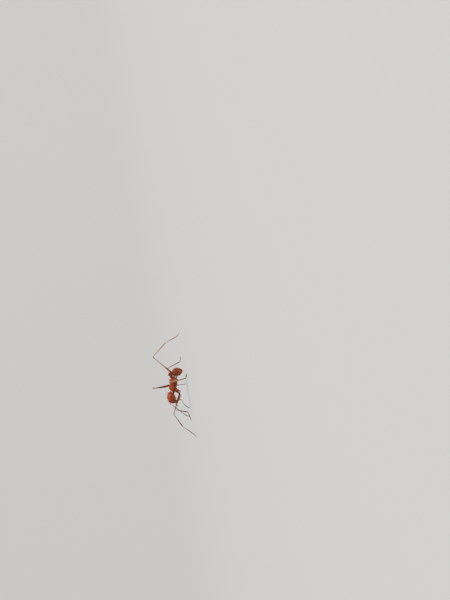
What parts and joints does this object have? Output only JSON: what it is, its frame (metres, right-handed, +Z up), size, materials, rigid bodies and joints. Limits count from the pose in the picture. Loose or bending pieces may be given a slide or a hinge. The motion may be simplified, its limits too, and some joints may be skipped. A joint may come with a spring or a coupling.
{
  "type": "leafcutter ant",
  "caption": "Still life-size leafcutter ant, a large worker: spiny thorax, heart-shaped head, hanging gaster, elbowed antennae and long sprawled legs standing on small flat soles.",
  "frame": {"origin": "on the floor plane under the middle of the ant's stance: the middle of the box's bottom face", "axes": "+Z up from the floor, the ant looks along -Y, its left side is +X"},
  "size_m": [0.0234, 0.0246, 0.0079],
  "materials": {
    "body_shell": "fine-grained rust-red shell with a soft shine",
    "gaster_shell": "darker rust-brown shell, matt and bristly",
    "limb_shell": "brown legs and feelers with a pale shine along the top",
    "jaw": "dark, smooth and shiny with fine furrows",
    "eye": "near-black, glossy, finely faceted"
  },
  "bodies": {
    "root": {"head": "body_shell", "eye_left": "eye", "eye_right": "eye", "mandible_left": "jaw", "mandible_right": "jaw", "scape_left": "limb_shell", "scape_right": "limb_shell", "funiculus_left": "limb_shell", "funiculus_right": "limb_shell", "pronotum": "body_shell", "mesothorax": "body_shell", "propodeum": "body_shell", "petiole": "body_shell", "postpetiole": "body_shell", "gaster_front": "gaster_shell", "gaster_rear": "gaster_shell", "coxa_front_left": "body_shell", "coxa_front_right": "body_shell", "coxa_middle_left": "body_shell", "coxa_middle_right": "body_shell", "coxa_hind_left": "body_shell", "coxa_hind_right": "body_shell", "femur_front_left": "limb_shell", "femur_front_right": "limb_shell", "femur_middle_left": "limb_shell", "femur_middle_right": "limb_shell", "femur_hind_left": "limb_shell", "femur_hind_right": "limb_shell", "tibia_front_left": "limb_shell", "tibia_front_right": "limb_shell", "tibia_middle_left": "limb_shell", "tibia_middle_right": "limb_shell", "tibia_hind_left": "limb_shell", "tibia_hind_right": "limb_shell", "tarsus_front_left": "limb_shell", "tarsus_front_right": "limb_shell", "tarsus_middle_left": "limb_shell", "tarsus_middle_right": "limb_shell", "tarsus_hind_left": "limb_shell", "tarsus_hind_right": "limb_shell"}
  },
  "joints": []
}
